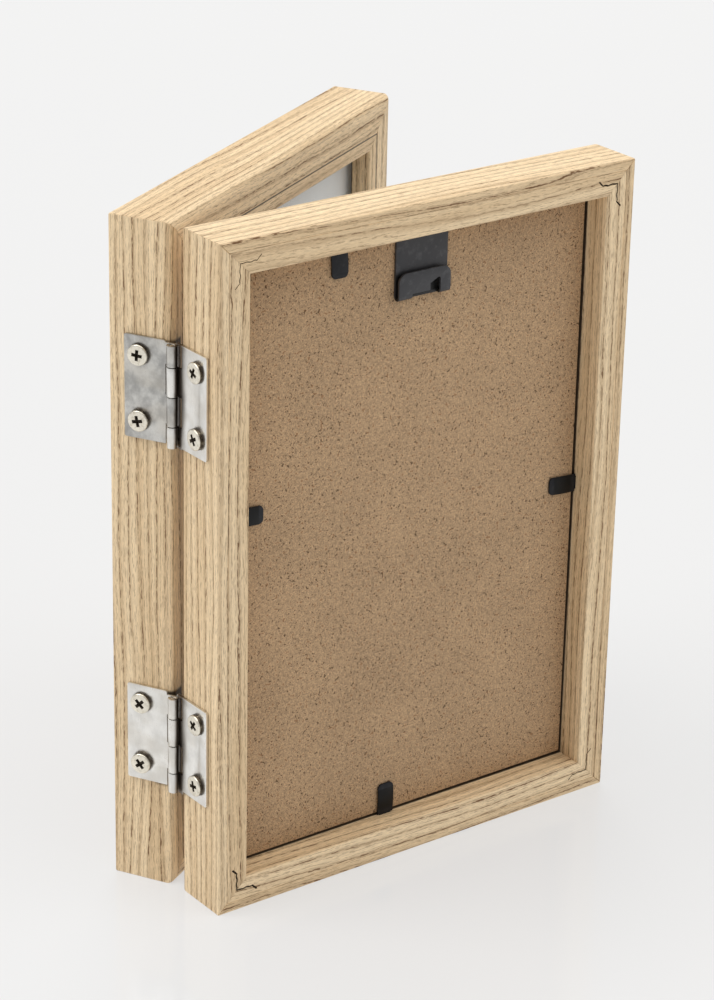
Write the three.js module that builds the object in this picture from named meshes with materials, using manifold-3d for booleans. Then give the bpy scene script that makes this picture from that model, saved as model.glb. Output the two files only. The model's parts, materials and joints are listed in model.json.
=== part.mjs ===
// Double photo frame: two mitred wooden frames that open like a book on two small butt hinges.
// Millimetres, +Z up. It stands on its bottom rails, partly open, with the origin under its middle.
//
// Each frame is drawn in frame coordinates: x runs from the hinge side to the free side, z runs up,
// and the depth runs along -y, from 0 on the front face to FRAME_DEPTH on the back face.

import * as THREE from "three";
import { mergeVertices } from "three/addons/utils/BufferGeometryUtils.js";
import Module from "manifold-3d";

// Wooden frame
const FRAME_WIDTH = 119.4;
const FRAME_HEIGHT = 168;
const FRAME_DEPTH = 16;
const FRONT_RIM = 12; // width of a rail on the front face
const BACK_RIM = 8.2; // width of a rail on the back face
const LIP_THICKNESS = 5; // wood between the front face and the glass
const FRONT_ROUND = 2; // outer front edge
const SIGHT_ROUND = 0.5; // window edge
const BACK_EASE = 0.3; // outer back edge
const MITRE_GAP = 0.06;

// Flat layers in the rebate
const GLASS_THICKNESS = 1.5;
const CARD_THICKNESS = 0.3;
const BOARD_THICKNESS = 1.9;
const LAYER_GAP = 0.1;
const LAYER_CLEARANCE = 0.5; // each side, between a layer and the rebate wall

// Sheet steel in the rebate walls
const SLOT_CLEARANCE = 0.1; // each side, round steel set into wood
const STEEL_OFF_BOARD = 0.15;
const SHANK_DEPTH = 5;
const TAB_WIDTH = 4.6;
const TAB_LENGTH = 8.4;
const TAB_THICKNESS = 0.4;
const TAB_LEAN = 0.6; // sideways lean of the free end
const TAB_ROUND = 1.2;
const TAB_OFF_WALL = 0.3;
const TAB_SHANK_WIDTH = 3.4;
const TOP_TAB_FROM_HANGER = 14; // gap between the top tab and the hanger
const HINGE_TAB_ABOVE_MIDDLE = 14.6;
const BOTTOM_TAB_OFF_MIDDLE = 5.5;

// Hanger: a plate whose lower end folds back up into a slotted lip
const HANGER_WIDTH = 15;
const HANGER_THICKNESS = 0.6;
const HANGER_DROP = 16.8; // from the rebate wall to the fold
const HANGER_OFF_MIDDLE = 0.9;
const HANGER_SHANK_WIDTH = 9;
const LIP_GAP = 0.9; // room for the nail's head
const LIP_HEIGHT = 6.7;
const LIP_ROUND = 2.2;
const NAIL_DOOR_WIDTH = 8.2; // the nail's head goes in here
const NAIL_DOOR_HEIGHT = 1.4;
const NAIL_SLOT_WIDTH = 3;
const NAIL_SLOT_HEIGHT = 4.6;
const NAIL_SLOT_SLANT = 1.5; // the slot's top slopes down by this much
const NAIL_SLOT_ROUND = 1;
const NAIL_SLOT_FROM_EDGE = 2.9;

// Corner nails across the mitres
const CORNER_NAIL_FROM_REBATE = 2.9;
const CORNER_NAIL_ARM = 4.5;
const CORNER_NAIL_HOOK = 1.3;
const CORNER_NAIL_THICKNESS = 0.35;
const CORNER_NAIL_DEPTH = 7;
const CORNER_NAIL_SUNK = 0.1;

// Butt hinges
const HINGE_LENGTH = 25;
const HINGE_FROM_END = 40; // end of the frame to the middle of the hinge
const LEAF_REACH = 12.7; // hinge axis to the leaf's outer edge
const LEAF_THICKNESS = 0.7;
const LEAF_OFF_WOOD = 0.1;
const LEAF_ROUND = 0.8;
const PIN_RADIUS = 0.6;
const PIN_CLEARANCE = 0.06;
const AXIS_BEFORE_FRONT = 0.9;
const MIDDLE_KNUCKLE = 7.2;
const KNUCKLE_GAP = 0.2;
const UPPER_KNUCKLE_DROP = 0.4; // the knuckles sit this much lower than the leaves
const LOWER_KNUCKLE_DROP = 0.9;
const LEAF_STOP = 0.3; // above the knuckles, the right leaf stops this far from the hinge axis
const NOTCH_FROM_AXIS = 2.6;
const SCREW_SPACING = 16;
const SCREW_FROM_AXIS = 8.9;
const SCREW_RADIUS = 1.1;
const SCREW_POINT = 2;
const SCREW_COVER = 1.6; // wood left beyond the screw's point
const HEAD_RADIUS = 2.55;
const HEAD_HEIGHT = 1;
const HEAD_ROUND = 0.4;
const HEAD_OFF_LEAF = 0.05;
const CROSS_LENGTH = 3.6;
const CROSS_WIDTH = 0.9;
const CROSS_DEPTH = 0.75;

const OPEN_ANGLE = THREE.MathUtils.degToRad(29);

const PAST = 1; // how far a cutting tool, or a piece that is joined on, reaches past a face

// Values that follow from the ones above
const RECESS_WIDTH = FRAME_WIDTH - 2 * BACK_RIM;
const RECESS_HEIGHT = FRAME_HEIGHT - 2 * BACK_RIM;
const GLASS_FRONT = LIP_THICKNESS + LAYER_GAP;
const CARD_FRONT = GLASS_FRONT + GLASS_THICKNESS + LAYER_GAP;
const BOARD_FRONT = CARD_FRONT + CARD_THICKNESS + LAYER_GAP;
const STEEL_FRONT = BOARD_FRONT + BOARD_THICKNESS + STEEL_OFF_BOARD;
const HANGER_MIDDLE = FRAME_WIDTH / 2 + HANGER_OFF_MIDDLE;
const KNUCKLE_RADIUS = PIN_RADIUS + PIN_CLEARANCE + LEAF_THICKNESS;
const AXIS_OUT = LEAF_OFF_WOOD + KNUCKLE_RADIUS; // hinge axis to the frame's outer side
const LEAF_FACE = LEAF_OFF_WOOD + LEAF_THICKNESS;
const SHANK_IN_WOOD = BACK_RIM - SCREW_COVER;

const wasm = await Module();
wasm.setup();

// ---- solids ----

function solidOf(geometry) {
  const bare = geometry.index ? geometry.toNonIndexed() : geometry.clone();
  bare.deleteAttribute("normal");
  bare.deleteAttribute("uv");
  const merged = mergeVertices(bare, 1e-4);
  const vertProperties = merged.attributes.position.array;
  const triVerts = new Uint32Array(merged.index.array);
  return new wasm.Manifold(new wasm.Mesh({ numProp: 3, vertProperties, triVerts }));
}

function geometryOf(solid) {
  const mesh = solid.getMesh();
  const geometry = new THREE.BufferGeometry();
  geometry.setAttribute("position", new THREE.BufferAttribute(mesh.vertProperties, 3));
  geometry.setIndex(new THREE.BufferAttribute(mesh.triVerts, 1));
  const faceted = geometry.toNonIndexed();
  faceted.computeVertexNormals();
  return faceted;
}

function joined(geometries) {
  const [first, ...rest] = geometries.map(solidOf);
  return geometryOf(rest.reduce((whole, piece) => whole.add(piece), first));
}

function cut(geometry, tools) {
  return geometryOf(tools.reduce((whole, tool) => whole.subtract(solidOf(tool)), solidOf(geometry)));
}

// ---- shapes in frame coordinates ----

// A block between two x, two depths and two heights.
function block([x0, x1], [depth0, depth1], [z0, z1]) {
  const box = new THREE.BoxGeometry(x1 - x0, depth1 - depth0, z1 - z0);
  return box.translate((x0 + x1) / 2, -(depth0 + depth1) / 2, (z0 + z1) / 2);
}

function extruded(outline, depth, curveSegments = 4) {
  return new THREE.ExtrudeGeometry(outline, { depth, bevelEnabled: false, curveSegments });
}

// An outline drawn on the frame's face, in x and z, pushed towards the back.
function pushedBack(outline, depth0, thickness) {
  const solid = extruded(outline, thickness);
  const turn = new THREE.Matrix4().makeRotationX(Math.PI / 2);
  return solid.applyMatrix4(turn).translate(0, -depth0, 0);
}

// An outline drawn on the frame's side, in depth and z, pushed outwards along -x.
function pushedOut(outline, x0, thickness) {
  const solid = extruded(outline, thickness, 10);
  const back = new THREE.Vector3(0, -1, 0);
  const up = new THREE.Vector3(0, 0, 1);
  const out = new THREE.Vector3(-1, 0, 0);
  return solid.applyMatrix4(new THREE.Matrix4().makeBasis(back, up, out)).translate(x0, 0, 0);
}

function uprightCylinder(radius, [z0, z1], x, y) {
  const cylinder = new THREE.CylinderGeometry(radius, radius, z1 - z0, 20);
  return cylinder.rotateX(Math.PI / 2).translate(x, y, (z0 + z1) / 2);
}

// A rectangle with its two far corners rounded, drawn from x0 outwards.
function tongue([x0, x1], [y0, y1], round, lean = 0) {
  const outline = new THREE.Shape();
  outline.moveTo(x0, y0);
  outline.lineTo(x1 - round, y0 + lean);
  outline.quadraticCurveTo(x1, y0 + lean, x1, y0 + lean + round);
  outline.lineTo(x1, y1 + lean - round);
  outline.quadraticCurveTo(x1, y1 + lean, x1 - round, y1 + lean);
  outline.lineTo(x0, y1);
  outline.closePath();
  return outline;
}

// A thin strip that follows a bent line, as an outline.
function strip(points, thickness) {
  const sides = points.map((point, i) => {
    const before = points[Math.max(i - 1, 0)];
    const after = points[Math.min(i + 1, points.length - 1)];
    const lead = i > 0 ? point.clone().sub(before).normalize() : after.clone().sub(point).normalize();
    const leave = i < points.length - 1 ? after.clone().sub(point).normalize() : lead;
    const normal = new THREE.Vector2(-lead.y - leave.y, lead.x + leave.x).normalize();
    const reach = thickness / 2 / (-normal.x * lead.y + normal.y * lead.x);
    return [point.clone().addScaledVector(normal, reach), point.clone().addScaledVector(normal, -reach)];
  });
  return new THREE.Shape([...sides.map(([left]) => left), ...sides.map(([, right]) => right).reverse()]);
}

// ---- the four edges of a frame ----
// A rail is drawn as the hinge-side rail: x in from the outer face, z along the rail.
// Turning about y, it becomes each of the other three.

const EDGES = {
  hinge: { turn: 0, x: 0, z: 0, length: FRAME_HEIGHT },
  bottom: { turn: -Math.PI / 2, x: FRAME_WIDTH, z: 0, length: FRAME_WIDTH },
  free: { turn: Math.PI, x: FRAME_WIDTH, z: FRAME_HEIGHT, length: FRAME_HEIGHT },
  top: { turn: Math.PI / 2, x: 0, z: FRAME_HEIGHT, length: FRAME_WIDTH },
};

function onEdge(edge, geometry) {
  const { turn, x, z } = EDGES[edge];
  return geometry.rotateY(turn).translate(x, 0, z);
}

// ---- rails ----

function railProfile() {
  const profile = new THREE.Shape();
  profile.moveTo(0, -FRONT_ROUND);
  profile.quadraticCurveTo(0, 0, FRONT_ROUND, 0);
  profile.lineTo(FRONT_RIM - SIGHT_ROUND, 0);
  profile.quadraticCurveTo(FRONT_RIM, 0, FRONT_RIM, -SIGHT_ROUND);
  profile.lineTo(FRONT_RIM, -LIP_THICKNESS);
  profile.lineTo(BACK_RIM, -LIP_THICKNESS);
  profile.lineTo(BACK_RIM, -FRAME_DEPTH);
  profile.lineTo(BACK_EASE, -FRAME_DEPTH);
  profile.lineTo(0, BACK_EASE - FRAME_DEPTH);
  profile.closePath();
  return profile;
}

// Both ends of a rail slope at 45 degrees, so an end moves in by its distance from the outer face.
function mitredRail(length) {
  const rail = extruded(railProfile(), length);
  const position = rail.attributes.position;
  for (let i = 0; i < position.count; i++) {
    const inset = position.getX(i) + MITRE_GAP / 2;
    const nearEnd = position.getZ(i) < length / 2;
    position.setZ(i, nearEnd ? inset : length - inset);
  }
  return rail;
}

function railGeometry(edge, tools) {
  return cut(onEdge(edge, mitredRail(EDGES[edge].length)), tools);
}

// ---- steel set into the rails ----

// Each tab's place along its rail, and the way that it leans.
const TABS = {
  top: { at: HANGER_MIDDLE - HANGER_WIDTH / 2 - TOP_TAB_FROM_HANGER - TAB_WIDTH / 2, lean: TAB_LEAN },
  hinge: { at: FRAME_HEIGHT / 2 + HINGE_TAB_ABOVE_MIDDLE, lean: -TAB_LEAN },
  free: { at: FRAME_HEIGHT / 2, lean: -TAB_LEAN },
  bottom: { at: FRAME_WIDTH / 2 + BOTTOM_TAB_OFF_MIDDLE, lean: 0 },
};

function tabBlade(edge) {
  const { at, lean } = TABS[edge];
  const reach = [BACK_RIM + TAB_OFF_WALL, BACK_RIM + TAB_LENGTH];
  const outline = tongue(reach, [at - TAB_WIDTH / 2, at + TAB_WIDTH / 2], TAB_ROUND, lean);
  return onEdge(edge, pushedBack(outline, STEEL_FRONT, TAB_THICKNESS));
}

function tabShank(edge, extra = 0) {
  const half = TAB_SHANK_WIDTH / 2 + extra;
  const reach = [BACK_RIM - SHANK_DEPTH - extra, BACK_RIM + 2 * extra];
  const depths = [STEEL_FRONT - extra, STEEL_FRONT + TAB_THICKNESS + extra];
  const { at } = TABS[edge];
  return onEdge(edge, block(reach, depths, [at - half, at + half]));
}

function hangerShank(extra = 0) {
  const wall = FRAME_HEIGHT - BACK_RIM;
  const half = HANGER_SHANK_WIDTH / 2 + extra;
  const depths = [STEEL_FRONT - extra, STEEL_FRONT + HANGER_THICKNESS + extra];
  const heights = [wall - PAST, wall + SHANK_DEPTH + extra];
  return block([HANGER_MIDDLE - half, HANGER_MIDDLE + half], depths, heights);
}

// Corner nail: a strip bent square at the mitre, with its two ends hooked outwards.
function cornerNail(corner, extra = 0) {
  const set = BACK_RIM - CORNER_NAIL_FROM_REBATE;
  const end = set + CORNER_NAIL_ARM;
  const hook = CORNER_NAIL_HOOK + extra;
  const line = [[set - hook, end + hook], [set, end], [set, set], [end, set], [end + hook, set - hook]];
  const place = ([a, b]) =>
    new THREE.Vector2(corner.free ? FRAME_WIDTH - a : a, corner.top ? FRAME_HEIGHT - b : b);
  const outline = strip(line.map(place), CORNER_NAIL_THICKNESS + 2 * extra);
  const front = FRAME_DEPTH - CORNER_NAIL_SUNK - CORNER_NAIL_DEPTH - extra;
  const back = FRAME_DEPTH - CORNER_NAIL_SUNK + (extra ? PAST : 0);
  return pushedBack(outline, front, back - front);
}

const CORNERS = [
  { name: "top_hinge", top: true, free: false },
  { name: "top_free", top: true, free: true },
  { name: "bottom_free", top: false, free: true },
  { name: "bottom_hinge", top: false, free: false },
];

// ---- hanger ----

// Lip: rounded at the top, with a door for the nail's head below and a slot for its shank above.
function hangerLip(foldCentre, top) {
  const left = HANGER_MIDDLE - HANGER_WIDTH / 2;
  const right = left + HANGER_WIDTH;
  const outline = new THREE.Shape();
  outline.moveTo(left, foldCentre);
  outline.lineTo(right, foldCentre);
  outline.lineTo(right, top - LIP_ROUND);
  outline.quadraticCurveTo(right, top, right - LIP_ROUND, top);
  outline.lineTo(left + LIP_ROUND, top);
  outline.quadraticCurveTo(left, top, left, top - LIP_ROUND);
  outline.closePath();
  return outline;
}

// Fold: a half ring that joins the plate to the lip.
function hangerFold(outer, inner, centreDepth, centreHeight) {
  const ring = new THREE.Shape();
  ring.absarc(centreDepth, centreHeight, outer, Math.PI, 2 * Math.PI, false);
  ring.absarc(centreDepth, centreHeight, inner, 2 * Math.PI, Math.PI, true);
  ring.closePath();
  return ring;
}

// The door for the nail's head, and the slot above it, both through the lip and its fold.
function nailCuts(slotRight, foldFloor, plateBack) {
  const reach = LIP_GAP + HANGER_THICKNESS + PAST;
  const doorHeights = [foldFloor - PAST, foldFloor + NAIL_DOOR_HEIGHT];
  const door = block([slotRight - NAIL_DOOR_WIDTH, slotRight], [plateBack, plateBack + reach], doorHeights);
  const slotTop = foldFloor + NAIL_SLOT_HEIGHT;
  const slotLeft = slotRight - NAIL_SLOT_WIDTH;
  const slot = new THREE.Shape();
  slot.moveTo(slotLeft, foldFloor);
  slot.lineTo(slotRight, foldFloor);
  slot.lineTo(slotRight, slotTop - NAIL_SLOT_ROUND);
  slot.quadraticCurveTo(slotRight, slotTop, slotRight - NAIL_SLOT_ROUND, slotTop);
  slot.lineTo(slotLeft, slotTop - NAIL_SLOT_SLANT);
  slot.closePath();
  return [door, pushedBack(slot, plateBack, reach)];
}

function hangerGeometry() {
  const left = HANGER_MIDDLE - HANGER_WIDTH / 2;
  const right = left + HANGER_WIDTH;
  const wall = FRAME_HEIGHT - BACK_RIM;
  const outer = HANGER_THICKNESS + LIP_GAP / 2;
  const foldFloor = wall - HANGER_DROP;
  const foldCentre = foldFloor + outer;
  const plateBack = STEEL_FRONT + HANGER_THICKNESS;
  const lipFront = plateBack + LIP_GAP;
  const plate = block([left, right], [STEEL_FRONT, plateBack], [foldCentre, wall - SLOT_CLEARANCE]);
  const lip = pushedBack(hangerLip(foldCentre, foldFloor + LIP_HEIGHT), lipFront, HANGER_THICKNESS);
  const ring = hangerFold(outer, LIP_GAP / 2, STEEL_FRONT + outer, foldCentre);
  const fold = pushedOut(ring, right, HANGER_WIDTH);
  const slotRight = right - NAIL_SLOT_FROM_EDGE;
  const whole = joined([plate, hangerShank(), fold, lip]);
  return cut(whole, nailCuts(right - NAIL_SLOT_FROM_EDGE, foldFloor, plateBack));
}

// ---- hinges ----

// Heights of a hinge's four knuckles, from the top one down.
function knuckleSpans({ middle, drop }) {
  const half = HINGE_LENGTH / 2;
  const ends = [half, MIDDLE_KNUCKLE, 0, -MIDDLE_KNUCKLE, -half].map((end) => middle - drop + end);
  return ends.slice(1).map((low, i) => [low + KNUCKLE_GAP / 2, ends[i] - KNUCKLE_GAP / 2]);
}

// Leaf: a plate on the frame's outer side that curls round the pin in every other knuckle.
function leafGeometry(hinge, ownsFirst) {
  const { middle, drop } = hinge;
  const half = HINGE_LENGTH / 2;
  const depths = [-AXIS_BEFORE_FRONT, LEAF_REACH - AXIS_BEFORE_FRONT];
  const outline = tongue(depths, [middle - half, middle + half], LEAF_ROUND);
  for (const height of screwHeights(hinge)) {
    const hole = new THREE.Path();
    hole.absarc(SCREW_FROM_AXIS - AXIS_BEFORE_FRONT, height, SCREW_RADIUS + SLOT_CLEARANCE, 0, 2 * Math.PI);
    outline.holes.push(hole);
  }
  const plate = pushedOut(outline, -LEAF_OFF_WOOD, LEAF_THICKNESS);
  const spans = knuckleSpans(hinge);
  const own = spans.filter((_, i) => (i % 2 === 0) === ownsFirst);
  const others = spans.filter((_, i) => (i % 2 === 0) !== ownsFirst);
  const notchDepths = [-AXIS_BEFORE_FRONT - PAST, NOTCH_FROM_AXIS - AXIS_BEFORE_FRONT];
  const notches = others.map(([low, high]) =>
    block([-LEAF_FACE - PAST, PAST], notchDepths, [low - KNUCKLE_GAP, high + KNUCKLE_GAP]));
  const stop = ownsFirst ? NOTCH_FROM_AXIS : LEAF_STOP;
  const stopDepths = [-AXIS_BEFORE_FRONT - PAST, stop - AXIS_BEFORE_FRONT];
  notches.push(block([-LEAF_FACE - PAST, PAST], stopDepths, [spans[0][1], middle + half + PAST]));
  const knuckles = own.map((span) => uprightCylinder(KNUCKLE_RADIUS, span, -AXIS_OUT, AXIS_BEFORE_FRONT));
  const boreSpan = [middle - half - drop - PAST, middle + half + PAST];
  const bore = uprightCylinder(PIN_RADIUS + PIN_CLEARANCE, boreSpan, -AXIS_OUT, AXIS_BEFORE_FRONT);
  return cut(joined([cut(plate, notches), ...knuckles]), [bore]);
}

function screwHeights({ middle }) {
  return [middle + SCREW_SPACING / 2, middle - SCREW_SPACING / 2];
}

function screwAt(geometry, height) {
  return geometry.translate(0, AXIS_BEFORE_FRONT - SCREW_FROM_AXIS, height);
}

// Pan-head screw with a cross recess, pointing into the wood.
function screwGeometry(height) {
  const length = SHANK_IN_WOOD + LEAF_FACE + HEAD_OFF_LEAF;
  const shoulder = [HEAD_RADIUS - HEAD_ROUND, HEAD_HEIGHT - HEAD_ROUND];
  const crown = new THREE.EllipseCurve(...shoulder, HEAD_ROUND, HEAD_ROUND, 0, Math.PI / 2);
  const profile = [
    new THREE.Vector2(0, -length),
    new THREE.Vector2(SCREW_RADIUS, SCREW_POINT - length),
    new THREE.Vector2(SCREW_RADIUS, 0),
    new THREE.Vector2(HEAD_RADIUS, 0),
    ...crown.getPoints(4),
    new THREE.Vector2(0, HEAD_HEIGHT),
  ];
  const body = new THREE.LatheGeometry(profile, 20);
  const bars = [[CROSS_LENGTH, CROSS_WIDTH], [CROSS_WIDTH, CROSS_LENGTH]].map(([a, b]) =>
    new THREE.BoxGeometry(a, 2 * CROSS_DEPTH, b).translate(0, HEAD_HEIGHT, 0));
  const screw = cut(body, bars).rotateZ(Math.PI / 2);
  return screwAt(screw.translate(-LEAF_FACE - HEAD_OFF_LEAF, 0, 0), height);
}

function pilotHole(height) {
  const length = SHANK_IN_WOOD + SLOT_CLEARANCE + PAST;
  const radius = SCREW_RADIUS + SLOT_CLEARANCE;
  const hole = new THREE.CylinderGeometry(radius, radius, length, 20);
  return screwAt(hole.rotateZ(Math.PI / 2).translate(length / 2 - PAST, 0, 0), height);
}

const HINGES = {
  upper: { middle: FRAME_HEIGHT - HINGE_FROM_END, drop: UPPER_KNUCKLE_DROP },
  lower: { middle: HINGE_FROM_END, drop: LOWER_KNUCKLE_DROP },
};

// ---- materials ----

function finish(color, roughness, metalness = 0) {
  return new THREE.MeshStandardMaterial({ color, roughness, metalness });
}

const oak = finish(0xd6bd93, 0.55);
const fibreboard = finish(0x8f7350, 0.85);
const paper = finish(0xf0efec, 0.9);
const steel = finish(0xb9b8b4, 0.35, 1);
const screwSteel = finish(0xcfc8b8, 0.3, 1);
const blackSteel = finish(0x2b2b2e, 0.45, 0.6);
const clear = finish(0xe8f0f0, 0.05);
clear.transparent = true;
clear.opacity = 0.3;

function named(name, geometry, material) {
  const mesh = new THREE.Mesh(geometry, material.clone());
  mesh.name = name;
  return mesh;
}

// ---- one frame ----

function railTools(edge) {
  const tools = [tabShank(edge, SLOT_CLEARANCE)];
  for (const corner of CORNERS) {
    if (corner.name.includes(edge)) tools.push(cornerNail(corner, SLOT_CLEARANCE));
  }
  if (edge === "top") tools.push(hangerShank(SLOT_CLEARANCE));
  if (edge === "hinge") tools.push(...Object.values(HINGES).flatMap(screwHeights).map(pilotHole));
  return tools;
}

function layer(front, thickness) {
  const inset = BACK_RIM + LAYER_CLEARANCE;
  return block([inset, FRAME_WIDTH - inset], [front, front + thickness], [inset, FRAME_HEIGHT - inset]);
}

function frameMeshes(side) {
  const meshes = [
    named(`${side}_glass`, layer(GLASS_FRONT, GLASS_THICKNESS), clear),
    named(`${side}_insert_card`, layer(CARD_FRONT, CARD_THICKNESS), paper),
    named(`${side}_back_board`, layer(BOARD_FRONT, BOARD_THICKNESS), fibreboard),
    named(`${side}_hanger`, hangerGeometry(), blackSteel),
  ];
  for (const edge of Object.keys(EDGES)) {
    meshes.push(named(`${side}_${edge}_rail`, railGeometry(edge, railTools(edge)), oak));
    meshes.push(named(`${side}_${edge}_tab`, tabBlade(edge), blackSteel));
    meshes.push(named(`${side}_${edge}_tab_shank`, tabShank(edge), blackSteel));
  }
  for (const corner of CORNERS) {
    meshes.push(named(`${side}_corner_nail_${corner.name}`, cornerNail(corner), blackSteel));
  }
  for (const [name, hinge] of Object.entries(HINGES)) {
    meshes.push(named(`${side}_${name}_leaf`, leafGeometry(hinge, side === "left"), steel));
    screwHeights(hinge).forEach((height, i) => {
      meshes.push(named(`${side}_${name}_screw_${i + 1}`, screwGeometry(height), screwSteel));
    });
  }
  return meshes;
}

// A frame hangs on the hinge axis, which is the z axis of the group that holds it.
function frameOnAxis(side) {
  const frame = new THREE.Group();
  frame.position.set(AXIS_OUT, -AXIS_BEFORE_FRONT, 0);
  frame.add(...frameMeshes(side));
  const swing = new THREE.Group();
  swing.add(frame);
  return swing;
}

function hingePin({ middle, drop }) {
  const half = HINGE_LENGTH / 2 - KNUCKLE_GAP;
  const centre = middle - drop;
  return uprightCylinder(PIN_RADIUS, [centre - half, centre + half], 0, 0);
}

// ---- the whole ----

function doubleFrame() {
  const whole = new THREE.Group();
  const right = frameOnAxis("right");
  const left = frameOnAxis("left"); // the same frame mirrored, so that the two fronts face each other
  left.scale.y = -1;
  left.rotation.z = OPEN_ANGLE;
  whole.add(right, left);
  for (const [name, hinge] of Object.entries(HINGES)) {
    whole.add(named(`${name}_hinge_pin`, hingePin(hinge), steel));
  }
  const box = new THREE.Box3().setFromObject(whole, true);
  whole.position.set(-(box.min.x + box.max.x) / 2, -(box.min.y + box.max.y) / 2, -box.min.z);
  const root = new THREE.Group();
  root.name = "double_photo_frame";
  root.add(whole);
  return root;
}

export default doubleFrame();
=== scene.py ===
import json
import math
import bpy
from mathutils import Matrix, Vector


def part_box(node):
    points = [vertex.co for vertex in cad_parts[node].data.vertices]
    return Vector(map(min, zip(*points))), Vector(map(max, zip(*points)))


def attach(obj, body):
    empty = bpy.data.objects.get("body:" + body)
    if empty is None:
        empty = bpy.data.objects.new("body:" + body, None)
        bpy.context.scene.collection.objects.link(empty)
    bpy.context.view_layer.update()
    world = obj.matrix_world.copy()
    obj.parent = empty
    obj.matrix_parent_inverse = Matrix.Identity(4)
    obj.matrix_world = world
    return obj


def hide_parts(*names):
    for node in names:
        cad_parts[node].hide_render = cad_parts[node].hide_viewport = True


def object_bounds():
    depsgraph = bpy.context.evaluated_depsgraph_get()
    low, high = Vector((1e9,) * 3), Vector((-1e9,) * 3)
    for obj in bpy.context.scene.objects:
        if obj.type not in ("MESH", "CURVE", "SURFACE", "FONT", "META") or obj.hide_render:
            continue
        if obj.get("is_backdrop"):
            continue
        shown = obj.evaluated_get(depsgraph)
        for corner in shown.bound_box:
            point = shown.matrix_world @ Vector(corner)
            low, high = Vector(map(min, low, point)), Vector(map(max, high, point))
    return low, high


bl_info = {
    "name": "Double Photo Frame",
    "version": (1, 0, 0),
    "blender": (4, 5, 0),
    "location": "View3D > Sidebar > Photo Frame",
    "description": "Builds a hinged double photo frame, piece by piece, in its place",
    "category": "Add Mesh",
}

from contextlib import contextmanager

import bmesh
import bpy
from bpy.props import FloatProperty, FloatVectorProperty, PointerProperty
from mathutils import Matrix, Vector

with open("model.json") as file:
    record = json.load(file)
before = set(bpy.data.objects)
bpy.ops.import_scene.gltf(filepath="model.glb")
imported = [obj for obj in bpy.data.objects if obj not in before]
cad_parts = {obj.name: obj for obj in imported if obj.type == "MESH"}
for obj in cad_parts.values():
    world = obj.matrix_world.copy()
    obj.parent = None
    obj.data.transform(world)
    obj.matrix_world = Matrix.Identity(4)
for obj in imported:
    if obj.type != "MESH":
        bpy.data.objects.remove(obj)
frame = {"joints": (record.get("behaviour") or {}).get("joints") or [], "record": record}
CAD_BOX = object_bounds()

# ---- measures of the two frames, in metres ----
# The right frame stands square to the axes. Its depth runs along -y, from its front to its back.

MM = 0.001
PAST = 1 * MM  # how far a cutting tool reaches past a face
SLACK = 0.1 * MM  # room round a part that is set into a cut
NEAR = 0.002 * MM  # two places closer than this are one

FRAME_LOW, FRAME_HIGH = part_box("right_hinge_rail")
OUTER_X, BACK_Y, FRONT_Y = FRAME_LOW.x, FRAME_LOW.y, FRAME_HIGH.y
FRONT_RIM = FRAME_HIGH.x - FRAME_LOW.x
DEPTH = FRONT_Y - BACK_Y
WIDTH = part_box("right_free_rail")[1].x - OUTER_X
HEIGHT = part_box("right_top_rail")[1].z
BACK_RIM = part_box("right_bottom_tab_shank")[1].z
LIP = FRONT_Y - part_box("right_glass")[1].y - SLACK  # from the front to the rebate's floor

HINGE_JOINT = next(j for j in frame["joints"] if j["name"] == "frame_hinge")
AXIS = Vector((HINGE_JOINT["pos_m"][0], HINGE_JOINT["pos_m"][1], 0))
OPENING = -math.radians(HINGE_JOINT["range_deg"][0])  # closed, the fronts are parallel

RECORD = frame["record"]
BODY_OF = {n: body for body, nodes in RECORD["behaviour"]["bodies"].items() for n in nodes}

# The left frame is the right one mirrored in its front, and turned open about the hinge axis.
TO_LEFT = (
    Matrix.Translation(AXIS)
    @ Matrix.Rotation(OPENING, 4, "Z")
    @ Matrix.Scale(-1, 4, (0, 1, 0))
    @ Matrix.Translation(-AXIS)
)

# A stick is drawn from the origin: x in from its outer face, z along it. It is then turned about y.
CORNER = Vector((OUTER_X, FRONT_Y, 0))
EDGES = {
    "hinge": (0, Vector((0, 0, 0)), HEIGHT),
    "bottom": (-90, Vector((WIDTH, 0, 0)), WIDTH),
    "free": (180, Vector((WIDTH, 0, HEIGHT)), HEIGHT),
    "top": (90, Vector((0, 0, HEIGHT)), WIDTH),
}
HINGES = ("upper", "lower")


def edge_place(edge):
    """Where a stick, or steel drawn with it, goes in the right frame."""
    turn, start, _ = EDGES[edge]
    return Matrix.Translation(CORNER + start) @ Matrix.Rotation(math.radians(turn), 4, "Y")


def in_stick(edge, node):
    """The low and high corners of a node's box, as its stick is drawn."""
    to_stick = edge_place(edge).inverted()
    ends = [to_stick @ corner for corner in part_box(node)]
    return Vector(map(min, *ends)), Vector(map(max, *ends))


def mirror(x=None, z=None):
    """Mirrors a frame coordinate, from 0 to the given width or height."""
    scale = Matrix.Diagonal((1 if x is None else -1, 1, 1 if z is None else -1, 1))
    return Matrix.Translation((x or 0, 0, z or 0)) @ scale


def corner_places():
    """Where what is drawn at the origin goes, at each corner of the right frame."""
    start = Matrix.Translation(CORNER)
    return {
        "bottom_hinge": start,
        "bottom_free": start @ mirror(x=WIDTH),
        "top_hinge": start @ mirror(z=HEIGHT),
        "top_free": start @ mirror(x=WIDTH) @ mirror(z=HEIGHT),
    }


# ---- sizes and colours that a user would change ----


def length(name, description, default):
    return FloatProperty(name=name, description=description, default=default, min=0, unit="LENGTH")


def colour(name, description, default):
    return FloatVectorProperty(
        name=name, description=description, default=default, subtype="COLOR", size=3, min=0, max=1
    )


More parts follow.
